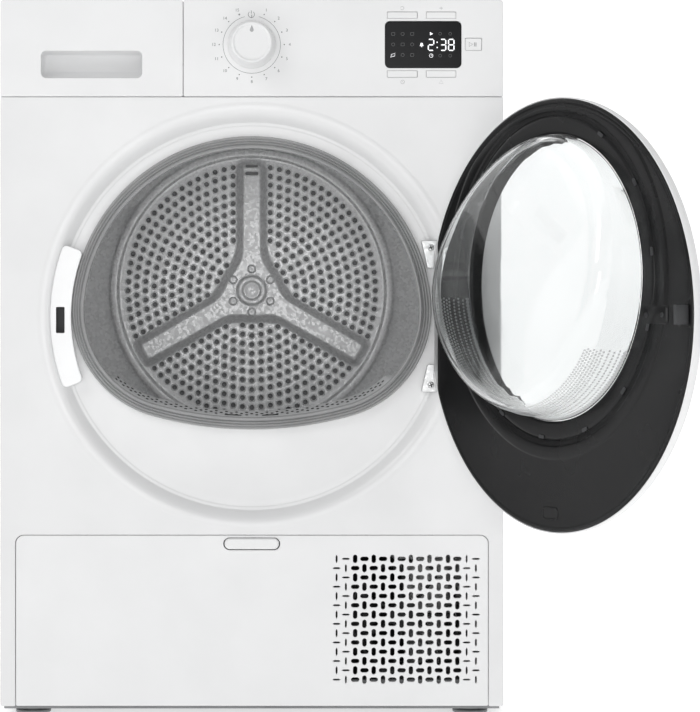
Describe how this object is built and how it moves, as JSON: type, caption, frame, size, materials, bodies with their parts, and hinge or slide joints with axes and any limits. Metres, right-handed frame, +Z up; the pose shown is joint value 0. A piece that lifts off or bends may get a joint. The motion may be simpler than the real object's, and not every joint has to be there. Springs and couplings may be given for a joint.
{
  "type": "clothes dryer",
  "caption": "White front-loading tumble dryer with its round door open, turning drum, water tank drawer, dial, display and hinged service flap.",
  "frame": {"origin": "centre of the base pan's underside, 8 mm above the floor that the feet stand on", "axes": "+Z up, -Y is the front that the door and console face, +X to the right of someone facing the front"},
  "size_m": [0.751, 1.0167, 0.849],
  "materials": {
    "white_enamel": "satin",
    "white_plastic": "satin",
    "black_plastic": "gloss",
    "grey_plastic": "matte",
    "grey_rubber": "matte",
    "drum_steel": "satin",
    "zinc_steel": "satin",
    "fin_aluminium": "satin",
    "clear_plastic": "gloss",
    "display_glass": "gloss"
  },
  "bodies": {
    "cabinet": {"base_pan": "grey_plastic", "foot_front_left": "grey_rubber", "foot_front_right": "grey_rubber", "foot_rear_left": "grey_rubber", "foot_rear_right": "grey_rubber", "side_panel_left": "white_enamel", "side_panel_right": "white_enamel", "rear_panel": "white_enamel", "top_panel": "white_plastic", "front_panel": "white_enamel", "console_panel": "white_plastic", "display_window": "display_glass", "control_board": "grey_plastic", "tank_tray": "grey_plastic", "front_bulkhead": "grey_plastic", "door_gasket": "grey_rubber", "rear_duct": "grey_plastic", "drive_belt": "grey_rubber", "drive_motor": "zinc_steel", "idler_bracket": "zinc_steel", "evaporator": "fin_aluminium", "condenser": "fin_aluminium", "compressor": "black_plastic", "condensate_pump": "grey_plastic", "drain_hose": "grey_rubber", "cooling_fan_shroud": "black_plastic", "latch_bezel": "white_plastic", "door_lock": "black_plastic", "hinge_bracket_upper": "zinc_steel", "hinge_bracket_lower": "zinc_steel", "mains_inlet": "black_plastic"},
    "door": {"door_cover": "white_plastic", "door_glass": "clear_plastic", "door_liner": "black_plastic", "door_bowl": "clear_plastic", "door_strike": "zinc_steel", "door_hinge_arm": "zinc_steel"},
    "water_tank_drawer": {"tank_front": "white_plastic", "water_tank": "white_plastic"},
    "dial": {"program_dial": "white_plastic"},
    "key_1": {"option_key_1": "white_plastic"},
    "key_2": {"option_key_2": "white_plastic"},
    "key_3": {"option_key_3": "white_plastic"},
    "key_4": {"option_key_4": "white_plastic"},
    "key_start": {"start_key": "white_plastic"},
    "flap": {"service_flap": "white_plastic", "flap_grille": "white_plastic"},
    "flap_latch": {"flap_handle": "white_plastic"},
    "filter": {"lint_filter": "grey_plastic"},
    "drum": {"drum_shell": "drum_steel", "drum_back": "drum_steel", "drum_lifter_1": "grey_plastic", "drum_lifter_2": "grey_plastic", "drum_lifter_3": "grey_plastic"},
    "rotor": {"motor_shaft": "zinc_steel", "blower_fan": "black_plastic"},
    "small_fan": {"cooling_fan": "black_plastic"},
    "roller_left": {"support_roller_left": "grey_rubber"},
    "roller_right": {"support_roller_right": "grey_rubber"},
    "idler": {"belt_idler": "grey_plastic"}
  },
  "joints": [
    {"name": "door_hinge", "type": "hinge", "parent": "cabinet", "child": "door", "pos_m": [0.223, -0.308, 0.4664], "axis": [0, 0, 1], "range_deg": [-119.3, 30]},
    {"name": "tank_slide", "type": "slide", "parent": "cabinet", "child": "water_tank_drawer", "axis": [0, -1, 0], "range_m": [0, 0.42]},
    {"name": "dial_turn", "type": "hinge", "parent": "cabinet", "child": "dial", "pos_m": [0, -0.302, 0.7879], "axis": [0, -1, 0], "continuous": true},
    {"name": "key_1_press", "type": "slide", "parent": "cabinet", "child": "key_1", "axis": [0, 1, 0], "range_m": [0, 0.001], "stiffness_N_per_m": 600},
    {"name": "key_2_press", "type": "slide", "parent": "cabinet", "child": "key_2", "axis": [0, 1, 0], "range_m": [0, 0.001], "stiffness_N_per_m": 600},
    {"name": "key_3_press", "type": "slide", "parent": "cabinet", "child": "key_3", "axis": [0, 1, 0], "range_m": [0, 0.001], "stiffness_N_per_m": 600},
    {"name": "key_4_press", "type": "slide", "parent": "cabinet", "child": "key_4", "axis": [0, 1, 0], "range_m": [0, 0.001], "stiffness_N_per_m": 600},
    {"name": "start_press", "type": "slide", "parent": "cabinet", "child": "key_start", "axis": [0, 1, 0], "range_m": [0, 0.001], "stiffness_N_per_m": 600},
    {"name": "flap_hinge", "type": "hinge", "parent": "cabinet", "child": "flap", "pos_m": [0, -0.299, 0.006], "axis": [1, 0, 0], "range_deg": [0, 85]},
    {"name": "flap_latch_pull", "type": "hinge", "parent": "flap", "child": "flap_latch", "pos_m": [0, -0.3, 0.203], "axis": [-1, 0, 0], "range_deg": [0, 20], "stiffness_Nm_per_rad": 0.3},
    {"name": "filter_lift", "type": "slide", "parent": "cabinet", "child": "filter", "axis": [0, 0, 1], "range_m": [0, 0.14]},
    {"name": "drum_spin", "type": "hinge", "parent": "cabinet", "child": "drum", "pos_m": [0, 0, 0.5044], "axis": [0, 1, 0], "continuous": true},
    {"name": "motor_spin", "type": "hinge", "parent": "cabinet", "child": "rotor", "pos_m": [0.205, 0, 0.118], "axis": [0, 1, 0], "continuous": true},
    {"name": "roller_left_spin", "type": "hinge", "parent": "cabinet", "child": "roller_left", "pos_m": [-0.17351, -0.225, 0.25661], "axis": [0, 1, 0], "continuous": true},
    {"name": "roller_right_spin", "type": "hinge", "parent": "cabinet", "child": "roller_right", "pos_m": [0.17351, -0.225, 0.25661], "axis": [0, 1, 0], "continuous": true},
    {"name": "cooling_fan_spin", "type": "hinge", "parent": "cabinet", "child": "small_fan", "pos_m": [0.184, -0.262, 0.108], "axis": [0, 1, 0], "continuous": true},
    {"name": "idler_swing", "type": "hinge", "parent": "cabinet", "child": "idler", "pos_m": [0.2558, 0.1585, 0.205], "axis": [0, 1, 0], "range_deg": [0, 12], "stiffness_Nm_per_rad": 2, "springref_deg": -11.46}
  ],
  "couplings": [
    {"joint": "motor_spin", "follows": "drum_spin", "ratio": 28.4},
    {"joint": "roller_left_spin", "follows": "drum_spin", "ratio": -15.778},
    {"joint": "roller_right_spin", "follows": "drum_spin", "ratio": -15.778}
  ]
}
